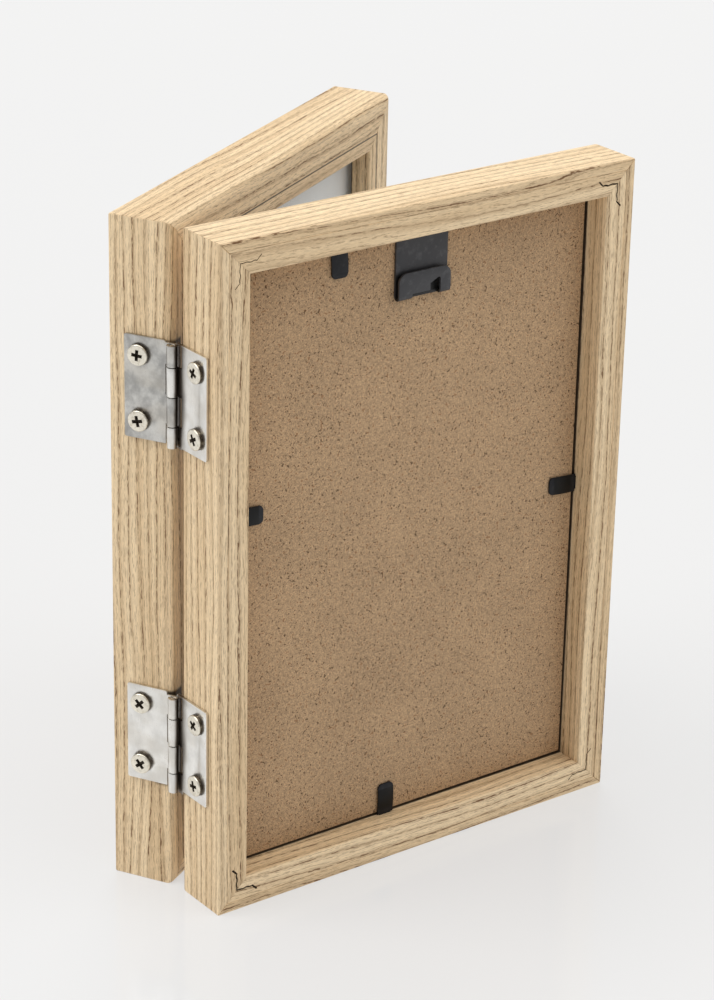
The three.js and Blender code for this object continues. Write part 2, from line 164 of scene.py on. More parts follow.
class PhotoFrameSizes(bpy.types.PropertyGroup):
    """Sizes of the finer shapes."""

    front_round: length("Front round", "Rounding of the outer front edge", 2 * MM)
    sight_round: length("Sight round", "Rounding of the window's edge", 0.6 * MM)
    back_round: length("Back round", "Rounding of the outer back edge", 0.35 * MM)
    rebate_round: length("Rebate round", "Rounding of the rebate's back edge", 0.4 * MM)
    wrap_width: length("Wrap width", "How far the veneer is wrapped onto the back", 2.5 * MM)
    wrap_groove: length("Wrap groove", "Depth of the line where the veneer ends", 0.12 * MM)
    mitre_gap: length("Mitre gap", "Gap between two sticks at a corner", 0.05 * MM)
    mitre_ease: length("Mitre ease", "Bevel along a mitre's outer edges", 0.12 * MM)
    nail_thickness: length("Nail thickness", "Thickness of a corner nail", 0.2 * MM)
    tab_round: length("Tab round", "Rounding of a tab's free corners", 1.2 * MM)
    tab_crown: length("Tab crown", "How far a tab's middle stands off the board", 0.22 * MM)
    lip_round: length("Lip round", "Rounding of the hanger lip's corners", 2.2 * MM)
    steel_ease: length("Steel ease", "Bevel on the edges of sheet steel", 0.09 * MM)
    leaf_round: length("Leaf round", "Rounding of a hinge leaf's corners", 0.5 * MM)


class PhotoFrameColours(bpy.types.PropertyGroup):
    """Colours of the finishes."""

    oak_cream: colour("Oak cream", "The light wood between the grain lines", (0.92, 0.715, 0.455))
    oak_tan: colour("Oak tan", "The darker wood between the grain lines", (0.78, 0.575, 0.34))
    oak_band: colour("Oak grain", "The porous bands of the grain", (0.48, 0.325, 0.175))
    oak_pore: colour("Oak pores", "The open pores in the grain", (0.150, 0.064, 0.019))
    # The hidden oak colour is painted shade, for the gaps beside the boards and behind the knuckles.
    oak_dark: colour("Hidden oak", "Painted shade on the wood in the gaps", (0.030, 0.019, 0.011))
    board: colour("Back board", "Bare fibreboard", (0.53, 0.355, 0.205))
    board_pale: colour("Board fibres", "Pale fibres in the fibreboard", (0.66, 0.47, 0.29))
    board_red: colour("Board bark", "Reddish bark in the fibreboard", (0.25, 0.125, 0.055))
    board_speck: colour("Board specks", "Dark specks in the fibreboard", (0.085, 0.045, 0.021))
    card: colour("Card", "The insert card", (0.93, 0.94, 0.95))
    zinc: colour("Zinc", "The hinge leaves' plating", (0.86, 0.845, 0.81))
    zinc_cloud: colour("Zinc clouds", "Greyer plating", (0.62, 0.61, 0.58))
    zinc_dull: colour("Dull zinc", "The darkest patches in the plating", (0.31, 0.305, 0.295))
    nickel: colour("Nickel", "The screws' plating", (0.84, 0.79, 0.68))
    # The grime colour is painted shade and dark reflection beside the knuckles.
    grime: colour("Grime", "Painted shade and dark reflection beside the knuckles", (0.085, 0.062, 0.045))
    hanger: colour("Hanger", "The hangers' black", (0.040, 0.040, 0.044))
    tab: colour("Tab", "The tabs' black", (0.012, 0.0125, 0.015))
    floor: colour("Floor", "The table that it stands on", (0.285, 0.285, 0.285))


def sizes():
    return bpy.context.scene.photo_frame_sizes


def colours():
    return bpy.context.scene.photo_frame_colours


# ---- modelling tools ----


def deselect_all():
    if bpy.context.object and bpy.context.object.mode != "OBJECT":
        bpy.ops.object.mode_set(mode="OBJECT")
    bpy.ops.object.select_all(action="DESELECT")


def only(piece):
    """Selects one piece and makes it active."""
    deselect_all()
    piece.select_set(True)
    bpy.context.view_layer.objects.active = piece


def settled(name):
    """Names the new piece, and moves its place from the object into the mesh."""
    piece = bpy.context.object
    piece.name = piece.data.name = name
    bpy.ops.object.transform_apply(location=True, rotation=True, scale=True)
    return piece


def add_box(name, low, high):
    low, high = Vector(low), Vector(high)
    deselect_all()
    bpy.ops.mesh.primitive_cube_add(size=1, location=(low + high) / 2, scale=high - low)
    return settled(name)


def add_rod(name, radius, start, end, sides=32):
    """A cylinder between two points."""
    start, end = Vector(start), Vector(end)
    deselect_all()
    bpy.ops.mesh.primitive_cylinder_add(
        vertices=sides,
        radius=radius,
        depth=(end - start).length,
        location=(start + end) / 2,
        rotation=(end - start).to_track_quat("Z", "Y").to_euler(),
    )
    return settled(name)


@contextmanager
def editing(piece, kind="EDGE"):
    """Edit mode on one piece, with nothing selected at first."""
    only(piece)
    bpy.ops.object.mode_set(mode="EDIT")
    bpy.ops.mesh.select_mode(type=kind)
    bpy.ops.mesh.select_all(action="DESELECT")
    yield
    bpy.ops.object.mode_set(mode="OBJECT")


def pick(test, kind="edges"):
    """Selects each corner, edge or face that lies wholly at a place, and nothing else."""
    bpy.ops.mesh.select_all(action="DESELECT")
    mesh = bmesh.from_edit_mesh(bpy.context.object.data)
    found = [i for i in getattr(mesh, kind) if all(test(v.co) for v in getattr(i, "verts", [i]))]
    if not found:
        raise RuntimeError(f"{bpy.context.object.name}: no {kind} pass the test")
    for item in found:
        item.select_set(True)
    bmesh.update_edit_mesh(bpy.context.object.data)
    return found


def pick_all():
    bpy.ops.mesh.select_all(action="SELECT")


def at(**place):
    """A test for points at a place, such as x=0.01."""
    return lambda co: all(abs(getattr(co, axis) - value) < NEAR for axis, value in place.items())


def move(*step):
    bpy.ops.transform.translate(value=step)


def extrude(*step):
    bpy.ops.mesh.extrude_region_move(TRANSFORM_OT_translate={"value": step})


def bevel(width, segments):
    bpy.ops.mesh.bevel(offset=width, segments=segments, affect="EDGES")


def slice_at(point, normal, **settings):
    """Cuts the selected mesh with a plane."""
    bpy.ops.mesh.bisect(threshold=NEAR / 4, plane_co=point, plane_no=normal, **settings)


def apply_modifier(piece, kind, **settings):
    only(piece)
    modifier = piece.modifiers.new(kind.title(), kind)
    for name, value in settings.items():
        setattr(modifier, name, value)
    bpy.ops.object.modifier_apply(modifier=modifier.name)


def cut_away(piece, *tools):
    """Cuts each tool out of the piece, and removes the tool."""
    for tool in tools:
        apply_modifier(piece, "BOOLEAN", operation="DIFFERENCE", solver="EXACT", object=tool)
        bpy.data.meshes.remove(tool.data)


def ease_edges(piece, width, segments=2, angle=40):
    """A small bevel on every sharp edge."""
    apply_modifier(
        piece,
        "BEVEL",
        width=width,
        segments=segments,
        limit_method="ANGLE",
        angle_limit=math.radians(angle),
        use_clamp_overlap=True,
    )


def smooth(piece, angle=35):
    only(piece)
    bpy.ops.object.shade_smooth_by_angle(angle=math.radians(angle))


def tidy_mesh(piece):
    """Merges doubles, and turns every face outwards."""
    with editing(piece):
        pick_all()
        bpy.ops.mesh.remove_doubles(threshold=NEAR)
        bpy.ops.mesh.normals_make_consistent(inside=False)


def placed(piece, matrix):
    """Moves, turns or mirrors the piece, and keeps its place in its mesh."""
    only(piece)
    piece.matrix_world = matrix
    bpy.ops.object.transform_apply(location=True, rotation=True, scale=True)
    if matrix.is_negative:
        tidy_mesh(piece)
    return piece


def copied(piece, name, matrix=Matrix.Identity(4)):
    """A copy with its own mesh, moved by the matrix."""
    only(piece)
    bpy.ops.object.duplicate()
    copy = bpy.context.object
    copy.name = copy.data.name = name
    return placed(copy, matrix)


def fitted(piece, node, *finishes):
    """Puts a finished piece in the place of its CAD node, on its body and with its finishes."""
    for finish in finishes:
        piece.data.materials.append(finish)
    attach(piece, BODY_OF[node])
    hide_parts(node)


def fitted_twice(piece, node, finish):
    """Fits a piece of the right frame, and its mirror image in the left frame."""
    left = copied(piece, piece.name.replace("right", "left"), TO_LEFT)
    fitted(piece, f"right_{node}", finish)
    fitted(left, f"left_{node}", finish)


# ---- finishes ----

DUSTY_GLASS = (0.78, 0.80, 0.79)
GLASS_TINT = (0.86, 0.90, 0.89)
WARM_ZINC = (0.60, 0.55, 0.47)
WORN_NICKEL = (0.50, 0.44, 0.33)
# The colours of the painted dark reflection on a screw head's side.
DARK_RIM = (0.075, 0.058, 0.042)
BRIGHT_RIM = (0.34, 0.29, 0.22)
# The colours of the painted shade inside a screw's cross.
DARK_CROSS = (0.026, 0.018, 0.010)
PALER_CROSS = (0.080, 0.058, 0.036)
RUBBED_HANGER = (0.085, 0.085, 0.09)
RUBBED_TAB = (0.028, 0.028, 0.03)
# The black of the painted shade in the hanger's fold.
FOLD_SHADE = (0.004, 0.004, 0.004)
NAIL_BLACK = (0.018, 0.010, 0.005)
NAIL_RUST = (0.048, 0.024, 0.011)


def rgba(tint):
    return tint if isinstance(tint, Field) else (*tint, 1)


class Field:
    """A value that varies over a surface. An expression on fields adds its Math nodes."""

    def __init__(self, paint, socket):
        self.paint = paint
        self.socket = socket

    def math(self, operation, *values):
        inputs = {i: value for i, value in enumerate((self, *values))}
        return self.paint.add("ShaderNodeMath", {"operation": operation}, inputs)

    def __add__(self, other):
        return self.math("ADD", other)

    def __mul__(self, other):
        return self.math("MULTIPLY", other)

    def __sub__(self, other):
        return self.math("SUBTRACT", other)

    def __rsub__(self, other):
        return self.paint.add("ShaderNodeMath", {"operation": "SUBTRACT"}, {0: other, 1: self})

    __radd__ = __add__
    __rmul__ = __mul__


class Paint:
    """A material, and the tools that make its pattern."""

    def __init__(self, name, uniform):
        self.material = bpy.data.materials.new(name)
        self.material.use_nodes = True
        self.tree = self.material.node_tree
        self.shader = self.tree.nodes["Principled BSDF"]
        for socket, value in uniform.items():
            self.shader.inputs[socket].default_value = value

    def add(self, kind, settings=None, inputs=None, output=0):
        """Any node: its type, its settings, then the values or links of its sockets."""
        node = self.tree.nodes.new(kind)
        for name, value in (settings or {}).items():
            setattr(node, name, value)
        for key, value in (inputs or {}).items():
            if isinstance(value, Field):
                self.tree.links.new(value.socket, node.inputs[key])
            else:
                node.inputs[key].default_value = value
        return Field(self, node.outputs[output])

    def place(self):
        """The place on the piece, in millimetres."""
        where = self.add("ShaderNodeTexCoord", output="Object")
        return self.stretched(where, (1 / MM,) * 3)

    def written(self, name):
        """A place that was written on the piece's corners, such as its place in the grain."""
        return self.add("ShaderNodeAttribute", {"attribute_name": name}, output="Vector")

    def along(self, vector, axis):
        return self.add("ShaderNodeSeparateXYZ", inputs={"Vector": vector}, output=axis)

    def stretched(self, vector, scale):
        return self.add("ShaderNodeMapping", inputs={"Vector": vector, "Scale": scale})

    def noise(self, vector, scale, detail=2, roughness=0.5):
        """Noise from 0 to 1, with so many features to a millimetre along each axis."""
        where = self.stretched(vector, scale if isinstance(scale, tuple) else (scale,) * 3)
        inputs = {"Vector": where, "Scale": 1.0, "Detail": detail, "Roughness": roughness}
        return self.add("ShaderNodeTexNoise", inputs=inputs)

    def step(self, value, low, high):
        """0 below low, 1 above high, and smooth between."""
        inputs = {"Value": value, "From Min": low, "From Max": high}
        return self.add("ShaderNodeMapRange", {"interpolation_type": "SMOOTHSTEP"}, inputs)

    def mix(self, share, first, second):
        """A colour that goes from the first to the second as the share goes from 0 to 1."""
        inputs = {0: share, 6: rgba(first), 7: rgba(second)}
        return self.add("ShaderNodeMix", {"data_type": "RGBA"}, inputs, output=2)

    def dimmed(self, tint, share):
        """A colour times a value."""
        grey = self.add("ShaderNodeCombineColor", inputs={0: share, 1: share, 2: share})
        settings = {"data_type": "RGBA", "blend_type": "MULTIPLY"}
        return self.add("ShaderNodeMix", settings, {0: 1.0, 6: rgba(tint), 7: grey}, output=2)

    def relief(self, height, distance, strength=1.0):
        """The surface normal of a small relief, its distance in metres."""
        inputs = {"Height": height, "Distance": distance, "Strength": strength}
        return self.add("ShaderNodeBump", inputs=inputs)

    def feed(self, **fields):
        """Links fields to the shader's sockets, such as Base_Color."""
        for name, field in fields.items():
            self.tree.links.new(field.socket, self.shader.inputs[name.replace("_", " ")])
        return self.material


def once(make):
    """Makes a finish the first time that it is asked for."""

    def asked():
        return bpy.data.materials.get(make.__name__) or make()

    return asked


@once
def light_oak():
    """Oak veneer: porous dark lines along the stick, between smooth cream and tan wood."""
    tint = colours()
    paint = Paint("light_oak", {"IOR": 1.42})
    grain = paint.written("grain")
    across = paint.along(grain, "X")
    down = paint.along(grain, "Y")
    drift = paint.noise(grain, (0.075, 0.075, 0.009), detail=1)
    sway = paint.noise(grain, (0.5, 0.5, 0.055), detail=1)
    quiver = paint.noise(grain, (1.3, 1.3, 0.50))
    rings = across * 0.33 + down * 0.41 + drift * 3.0 + sway * 0.40 + quiver * 0.20
    strong = grain_lines(paint, grain, rings, 0.072, (1.5, 1.5, 0.36))
    weak = grain_lines(paint, grain, rings * 2.6 + drift, 0.12, (2.6, 2.6, 0.46))
    share = paint.noise(grain, (0.33, 0.33, 0.012), detail=1)
    strong = strong * paint.step(share, 0.24, 0.56)
    halo = 1 - paint.step((rings.math("FRACT") - 0.56).math("ABSOLUTE"), 0.02, 0.34)
    fleck = paint.step(paint.noise(grain, (4.6, 4.6, 0.42), detail=1), 0.60, 0.70)
    pores = strong.math("MAXIMUM", weak * 0.50).math("MAXIMUM", fleck * 0.42)
    fibre = paint.noise(grain, (4.2, 4.2, 0.40), detail=4, roughness=0.75)
    broad = paint.noise(grain, (0.22, 0.22, 0.008))
    wood = paint.mix(paint.step(broad, 0.34, 0.64), tint.oak_tan, tint.oak_cream)
    wood = paint.mix(halo * 0.42, wood, tint.oak_band)
    wood = paint.dimmed(wood, 0.50 + fibre * 0.96)
    wood = paint.mix(pores * 0.92, wood, tint.oak_pore)
    stick = paint.written("stick")
    wood = paint.mix(veneer_edge(paint, stick), wood, tint.oak_pore)
    # Painted shade: the wood beside the boards' edges and behind the knuckles is darkened in its
    # colour.
    painted_shade = gap_by_board(paint, stick).math("MAXIMUM", behind_knuckles(paint)) * 0.93
    wood = paint.mix(painted_shade, wood, tint.oak_dark)
    rough = 0.46 + fibre * 0.14 + pores * 0.2
    normal = paint.relief(fibre * 0.3 - pores, 0.06 * MM, 0.6)
    return paint.feed(Base_Color=wood, Roughness=rough, Normal=normal)


def grain_lines(paint, grain, rings, half_width, pieces):
    """Thin lines at whole rings, broken into pieces of the given sizes."""
    off = (rings.math("FRACT") - 0.5).math("ABSOLUTE")
    line = 1 - paint.step(off, half_width * 0.35, half_width)
    broken = paint.noise(grain, pieces, roughness=0.6)
    return line * paint.step(broken, 0.38, 0.56)


def veneer_edge(paint, stick):
    """A dark, uneven line on the back, where the wrapped veneer ends."""
    wobble = paint.noise(stick, (0.0, 0.0, 0.35), detail=3, roughness=0.6)
    off = paint.along(stick, "X") - sizes().wrap_width / MM + (wobble - 0.5) * 0.5
    on_back = 1 - paint.step(paint.along(stick, "Y"), 0.1 - DEPTH / MM, 0.4 - DEPTH / MM)
    dark = paint.step(paint.noise(stick, (0.1, 0.1, 0.13), detail=4), 0.46, 0.66)
    return (1 - paint.step(off.math("ABSOLUTE"), 0.06, 0.22)) * on_back * dark * 0.45


def gap_by_board(paint, stick):
    """Painted shade on the rebate's wall beside the board's edge, where the wood's colour is darkened.
    """
    across = paint.along(stick, "X")
    wall = BACK_RIM / MM
    board_back = (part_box("right_back_board")[0].y - FRONT_Y) / MM
    near_wall = paint.step(across, wall - 0.15, wall - 0.05)
    near_wall = near_wall * (1 - paint.step(across, wall + 0.1, wall + 0.4))
    return near_wall * paint.step(paint.along(stick, "Y"), board_back - 0.10, board_back + 0.25)


def behind_knuckles(paint):
    """Painted shade on the wood round the hinge axis, at the height of each hinge."""
    place = paint.place()
    flat = paint.stretched(place, (1, 1, 0))
    axis = AXIS / MM
    off = paint.add("ShaderNodeVectorMath", {"operation": "DISTANCE"}, {0: flat, 1: axis}, output=1)
    height = paint.along(place, "Z")
    spans = []
    for hinge in HINGES:
        low, high = (corner.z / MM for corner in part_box(f"right_{hinge}_leaf"))
        spans.append(paint.step(height, low - 0.5, low + 1) * (1 - paint.step(height, high - 1, high)))
    return (1 - paint.step(off, 5.6, 6.2)) * (spans[0] + spans[1])


@once
def fibreboard():
    """Bare hardboard: fine felted fibres, soft blotches and dark bark specks."""
    tint = colours()
    paint = Paint("fibreboard", {"IOR": 1.38})
    place = paint.place()
    felt = paint.noise(place, 1.0, detail=4, roughness=0.75)
    grit = paint.noise(place, 2.6, roughness=0.6)
    blotch = paint.noise(place, 0.05, detail=3)
    specks = paint.step(paint.noise(place, 1.0, detail=1), 0.63, 0.70)
    chips = paint.step(paint.noise(place, 1.75, detail=1), 0.64, 0.71)
    pale = paint.step(paint.noise(place, 1.7, detail=1), 0.66, 0.76)
    shade = felt * 1.7 + grit * 1.3 + blotch * 0.3 - 0.75
    brown = paint.dimmed(paint.mix(pale * 0.6, tint.board, tint.board_pale), shade)
    brown = paint.mix(specks * 0.75, brown, tint.board_red)
    brown = paint.mix(chips * 0.85, brown, tint.board_speck)
    normal = paint.relief(felt + grit * 0.7, 0.10 * MM, 0.8)
    return paint.feed(Base_Color=brown, Roughness=0.72 + felt * 0.2, Normal=normal)


@once
def white_card():
    paint = Paint("white_card", {"IOR": 1.45})
    fibre = paint.noise(paint.place(), 2.5, detail=4, roughness=0.7)
    shade = paint.dimmed(colours().card, 0.97 + fibre * 0.05)
    normal = paint.relief(fibre, 0.01 * MM, 0.4)
    return paint.feed(Base_Color=shade, Roughness=0.62 + fibre * 0.15, Normal=normal)


@once
def clear_glass():
    """Thin picture glass: almost clear, with a trace of dust."""
    paint = Paint("clear_glass", {"IOR": 1.5})
    haze = paint.noise(paint.place(), 0.08, detail=4, roughness=0.65)
    shade = paint.mix(haze * 0.3, GLASS_TINT, DUSTY_GLASS)
    rough = paint.step(haze, 0.45, 0.9) * 0.06 + 0.01
    return paint.feed(Base_Color=shade, Roughness=rough, Alpha=0.08 + haze * 0.07)


def zinc_paint(name, clean, cloudy, blotched):
    """Zinc plating: clouded, with rolling lines, scuffs, and painted shade and dark reflection beside
    the knuckles.
    """
    paint = Paint(name, {"Metallic": 1.0})
    place = paint.place()
    cloud = paint.noise(place, (0.22, 0.22, 0.20), detail=4, roughness=0.6)
    warm = paint.noise(place, (0.13, 0.13, 0.16))
    grain = paint.noise(place, (6.0, 6.0, 0.5))
    scuff = paint.step(paint.noise(place, (1.1, 1.1, 3.2), detail=3, roughness=0.7), 0.64, 0.75)
    share = paint.step(cloud, 0.36, 0.66) * blotched
    shade = paint.mix(share, clean, cloudy)
    shade = paint.mix(paint.step(warm, 0.42, 0.66) * 0.35, shade, WARM_ZINC)
    shade = paint.dimmed(shade, 0.93 + grain * 0.12 - scuff * 0.18)
    # Painted shade and dark reflection beside the knuckles, mixed into the zinc's colour.
    shade = paint.mix(knuckle_grime(paint, place), shade, colours().grime)
    rough = 0.25 + share * 0.12 + grain * 0.06 + scuff * 0.15
    normal = paint.relief(grain * 0.4 + cloud - scuff * 0.4, 0.02 * MM, 0.5)
    return paint.feed(Base_Color=shade, Roughness=rough, Normal=normal)


def knuckle_grime(paint, place):
    """Painted shade and dark reflection in the hollow between a right leaf and its knuckles."""
    shade_wobble = paint.noise(place, (0.5, 0.5, 0.12), detail=3)
    from_axis = AXIS.y / MM - paint.along(place, "Y") + (shade_wobble - 0.5) * 1.4
    low = paint.step(paint.along(place, "X"), AXIS.x / MM - 0.9, AXIS.x / MM + 0.2)
    black = (1 - paint.step(from_axis, 2.2, 3.4)) * 0.5
    brown = (1 - paint.step(from_axis, 3.2, 5.2)) * 0.42
    return (black + brown) * paint.step(from_axis, 0.1, 1.0) * low


@once
def bright_zinc():
    return zinc_paint("bright_zinc", colours().zinc, colours().zinc_cloud, 0.45)


@once
def dull_zinc():
    return zinc_paint("dull_zinc", colours().zinc_cloud, colours().zinc_dull, 0.8)


@once
def nickel_plate():
    paint = Paint("nickel_plate", {"Metallic": 1.0})
    place = paint.place()
    cloud = paint.noise(place, 0.9, detail=3)
    worn = paint.step(paint.noise(place, 1.3, detail=3), 0.45, 0.75)
    shade = paint.mix(worn * 0.55, colours().nickel, WORN_NICKEL)
    shade = paint.dimmed(shade, 0.76 + cloud * 0.44)
    normal = paint.relief(paint.noise(place, 3.0, detail=3), 0.015 * MM, 0.5)
    return paint.feed(Base_Color=shade, Roughness=0.22 + cloud * 0.16, Normal=normal)


@once
def worn_rim():
    """The side of a screw's head, with a painted dark reflection."""
    paint = Paint("worn_rim", {"Metallic": 1.0})
    patch = paint.noise(paint.place(), 1.4, detail=3)
    shade = paint.mix(paint.step(patch, 0.45, 0.75), DARK_RIM, BRIGHT_RIM)
    return paint.feed(Base_Color=shade, Roughness=0.30 + patch * 0.2)


def in_fold(paint, place):
    """Where the right hanger gets painted shade: the hollow between its plate and its lip."""
    middle = (HANGER_LOW.y + HANGER_HIGH.y) / 2 / MM
    reach = (HANGER_HIGH.y - HANGER_LOW.y) / 2 / MM - HANGER_SHEET / MM + 0.05
    off = (paint.along(place, "Y") - middle).math("ABSOLUTE")
    hollow = 1 - paint.step(off, reach, reach + 0.1)
    top = (HANGER_LOW.z + LIP_HEIGHT) / MM
    return hollow * (1 - paint.step(paint.along(place, "Z"), top - 1.2, top + 0.6))


def black_paint(name, tint, rubbed, gloss):
    """Blackened spring steel: satin, with faint rubbed patches and painted shade in the right hanger's
    fold.
    """
    paint = Paint(name, {"IOR": gloss})
    place = paint.place()
    cloud = paint.noise(place, 0.55, detail=4, roughness=0.6)
    grain = paint.noise(place, 5.0)
    rub = paint.step(cloud, 0.48, 0.74)
    shade = paint.mix(rub * 0.6, tint, rubbed)
    # Painted shade in the hollow of the right hanger's fold.
    shade = paint.mix(in_fold(paint, place), shade, FOLD_SHADE)
    rough = 0.38 + grain * 0.14 - rub * 0.06
    normal = paint.relief(grain + cloud * 0.6, 0.02 * MM, 0.5)
    return paint.feed(Base_Color=shade, Roughness=rough, Normal=normal)


@once
def hanger_steel():
    return black_paint("hanger_steel", colours().hanger, RUBBED_HANGER, 1.45)


@once
def tab_steel():
    return black_paint("tab_steel", colours().tab, RUBBED_TAB, 1.3)


@once
def nail_steel():
    """The sunk back edge of a corner nail: dark, with a little rust."""
    paint = Paint("nail_steel", {"IOR": 1.3})
    rust = paint.step(paint.noise(paint.place(), 1.2, detail=3), 0.45, 0.7)
    shade = paint.mix(rust, NAIL_BLACK, NAIL_RUST)
    return paint.feed(Base_Color=shade, Roughness=0.55 + rust * 0.3)


@once
def driver_grime():
    """Painted shade for the inside of a screw's cross."""
    paint = Paint("driver_grime", {"Metallic": 0.3})
    patch = paint.noise(paint.place(), 2.0, detail=3)
    shade = paint.mix(paint.step(patch, 0.4, 0.7), DARK_CROSS, PALER_CROSS)
    return paint.feed(Base_Color=shade, Roughness=0.55 + patch * 0.2)


# ---- wooden sticks ----

GRAIN_STEP = Vector((19, 27, 370))  # from one stick's grain to the next one's, in millimetres
INNER_EASE = 0.15 * MM  # on the edge between the window's wall and the rebate's floor


class PHOTOFRAME_OT_sticks(bpy.types.Operator):
    """Build the eight mitred wooden sticks of the two frames"""

    bl_idname = "photo_frame.sticks"
    bl_label = "Wooden sticks"

    def execute(self, context):
        for number, edge in enumerate(EDGES):
            stick = shape_stick(edge)
            write_places(stick, edge_place(edge).inverted())
            left = copied(stick, f"left_{edge}_stick", TO_LEFT)
            write_grain(stick, GRAIN_STEP * number)
            write_grain(left, GRAIN_STEP * (number + len(EDGES)))
            fitted(stick, f"right_{edge}_rail", light_oak())
            fitted(left, f"left_{edge}_rail", light_oak())
        return {"FINISHED"}


def shape_stick(edge):
    """One stick of the right frame: rebated, rounded, mitred, slotted for its steel and placed."""
    size = sizes()
    long = EDGES[edge][2]
    stick = add_box(f"right_{edge}_stick", (0, -DEPTH, 0), (FRONT_RIM, 0, long))
    rebate_low = (BACK_RIM, -DEPTH - PAST, -PAST)
    cut_away(stick, add_box("rebate", rebate_low, (FRONT_RIM + PAST, -LIP, long + PAST)))
    with editing(stick):
        for x, y, width, segments in (
            (0, 0, size.front_round, 7),
            (FRONT_RIM, 0, size.sight_round, 4),
            (FRONT_RIM, -LIP, INNER_EASE, 2),
            (0, -DEPTH, size.back_round, 4),
            (BACK_RIM, -DEPTH, size.rebate_round, 4),
        ):
            pick(at(x=x, y=y))
            bevel(width, segments)
        groove_back(size)
    half_gap = size.mitre_gap / 2
    mitre_end(stick, Vector((0, 0, half_gap)), Vector((1, 0, -1)), size)
    mitre_end(stick, Vector((0, 0, long - half_gap)), Vector((1, 0, 1)), size)
    placed(stick, edge_place(edge))
    cut_away(stick, *steel_slots(edge))
    if edge == "hinge":
        for hinge in HINGES:
            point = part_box(f"right_{hinge}_screw_1")[1].x
            cut_away(stick, *screw_holes(hinge, OUTER_X - PAST, point + SLACK, 20))
    smooth(stick, 30)
    return stick


def groove_back(size):
    """A fine line along the back face, where the wrapped veneer ends."""
    half = size.wrap_groove * 0.8
    for x in (size.wrap_width - half, size.wrap_width, size.wrap_width + half):
        pick(at(y=-DEPTH), "faces")
        slice_at((x, 0, 0), (1, 0, 0))
    pick(at(x=size.wrap_width, y=-DEPTH))
    move(0, size.wrap_groove, 0)


def mitre_end(stick, point, normal, size):
    """Cuts an end at 45 degrees, and eases the mitre's edges where they show most."""
    inner = size.wrap_width + size.wrap_groove

    def shows(co):
        return abs((co - point) @ normal) < NEAR and (co.x < inner or co.y > -NEAR)

    with editing(stick):
        pick_all()
        slice_at(point, normal, use_fill=True, clear_outer=True)
        pick(shows)
        bevel(size.mitre_ease, 1)


def steel_slots(edge):
    """Tools for the slots of a stick's tab and hanger, and of the corner nails at its ends."""
    grow = Vector((SLACK, SLACK, SLACK))
    past_wall = Vector((2 * SLACK, 0, 0))
    low, high = in_stick(edge, f"right_{edge}_tab_shank")
    slot = add_box("tab_slot", low - grow, high + grow + past_wall)
    tools = [placed(slot, edge_place(edge))]
    if edge == "top":
        low, high = hanger_shank()
        tools.append(add_box("hanger_slot", low - grow, high + grow))
    for corner, place in corner_places().items():
        if edge in corner.split("_"):
            tools.append(placed(nail_ribbon("nail_slot", NAIL_GAPS[corner]), place))
    return tools


def screw_holes(hinge, start, end, sides):
    """Tools for the holes of a hinge's right screws, from one x to another."""
    for number in (1, 2):
        low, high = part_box(f"right_{hinge}_screw_{number}")
        middle = (low + high) / 2
        ends = [Vector((x, middle.y, middle.z)) for x in (start, end)]
        yield add_rod("screw_hole", SCREW_SHANK + SLACK, *ends, sides)


def write_places(stick, to_stick):
    """Writes each corner's place in the stick, in millimetres."""
    place = stick.data.attributes.new("stick", "FLOAT_VECTOR", "POINT")
    for value, vertex in zip(place.data, stick.data.vertices):
        value.vector = (to_stick @ vertex.co) / MM


def write_grain(stick, start):
    """Lets the grain follow the stick, from a start of its own in the wood."""
    grain = stick.data.attributes.new("grain", "FLOAT_VECTOR", "POINT")
    for value, place in zip(grain.data, stick.data.attributes["stick"].data):
        value.vector = Vector(place.vector) + start


# ---- corner nails ----

NAIL_SET = BACK_RIM - 2.9 * MM  # from the frame's outer sides to the nail's corner
NAIL_ARM = 4.5 * MM
NAIL_HOOK = 1.3 * MM
NAIL_DEPTH = 7 * MM
NAIL_WAVE = 0.11 * MM
NAIL_WAVES = 2
NAIL_STEPS = 12  # along each arm
NAIL_SUNK = 0.12 * MM  # below the back face
NAIL_EASE = 0.04 * MM
NAIL_GAPS = {  # how much wider a corner's slot is than its nail
    "bottom_hinge": 0.30 * MM,
    "bottom_free": 0.14 * MM,
    "top_hinge": 0.05 * MM,
    "top_free": 0.24 * MM,
}


class PHOTOFRAME_OT_corner_nails(bpy.types.Operator):
    """Build the wavy steel nails across the mitres, seen on the backs"""

    bl_idname = "photo_frame.corner_nails"
    bl_label = "Corner nails"

    def execute(self, context):
        nail = nail_ribbon("corner_nail", 0)
        ease_edges(nail, NAIL_EASE, 1)
        smooth(nail)
        for corner, place in corner_places().items():
            for side, matrix in (("right", place), ("left", TO_LEFT @ place)):
                piece = copied(nail, f"{side}_nail_{corner}", matrix)
                fitted(piece, f"{side}_corner_nail_{corner}", nail_steel())
        bpy.data.meshes.remove(nail.data)
        return {"FINISHED"}


def nail_line():
    """The nail's run in the corner's plane, from one hooked end round to the other."""
    arm = []
    for i in range(NAIL_STEPS + 1):
        share = i / NAIL_STEPS
        wave = NAIL_WAVE * math.sin(2 * math.pi * NAIL_WAVES * share) * (0.4 + share)
        arm.append(Vector((NAIL_SET + wave, NAIL_SET + NAIL_ARM * share)))
    hook = [Vector((-share, share)) * NAIL_HOOK + arm[-1] for share in (0.5, 1)]
    first = arm + hook
    return [p.yx for p in reversed(first[1:])] + first


